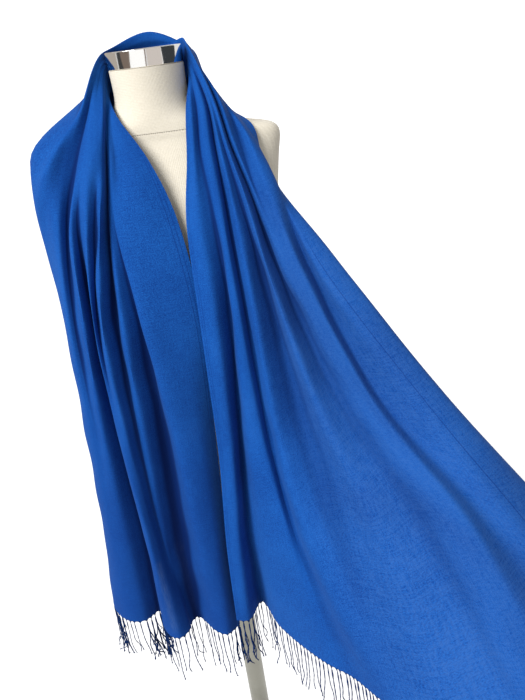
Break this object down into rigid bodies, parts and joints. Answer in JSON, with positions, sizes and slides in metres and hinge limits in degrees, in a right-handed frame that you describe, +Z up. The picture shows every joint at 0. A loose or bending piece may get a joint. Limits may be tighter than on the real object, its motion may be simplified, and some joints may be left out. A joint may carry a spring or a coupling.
{
  "type": "pashmina shawl on a limbless dress form",
  "caption": "Royal blue fringed pashmina shawl hung round the neck of a limbless dress form on a pole stand.",
  "frame": {"origin": "middle of the base plate's underside, on the floor under the pole", "axes": "+Z up along the pole, -Y out of the front of the dress form, +X towards the fanned front of the shawl"},
  "size_m": [0.7776, 0.6729, 1.6206],
  "materials": {
    "cloth": "soft twill",
    "jersey": "plain knit cover",
    "chrome": "polished",
    "steel": "brushed"
  },
  "bodies": {
    "root": {"shawl_left_front": "cloth", "shawl_neck": "cloth", "shawl_right_front": "cloth", "fringe_left": "cloth", "fringe_right": "cloth", "form_torso": "jersey", "neck_cap": "chrome", "form_foot": "steel", "pole": "steel", "base": "steel"}
  },
  "joints": []
}
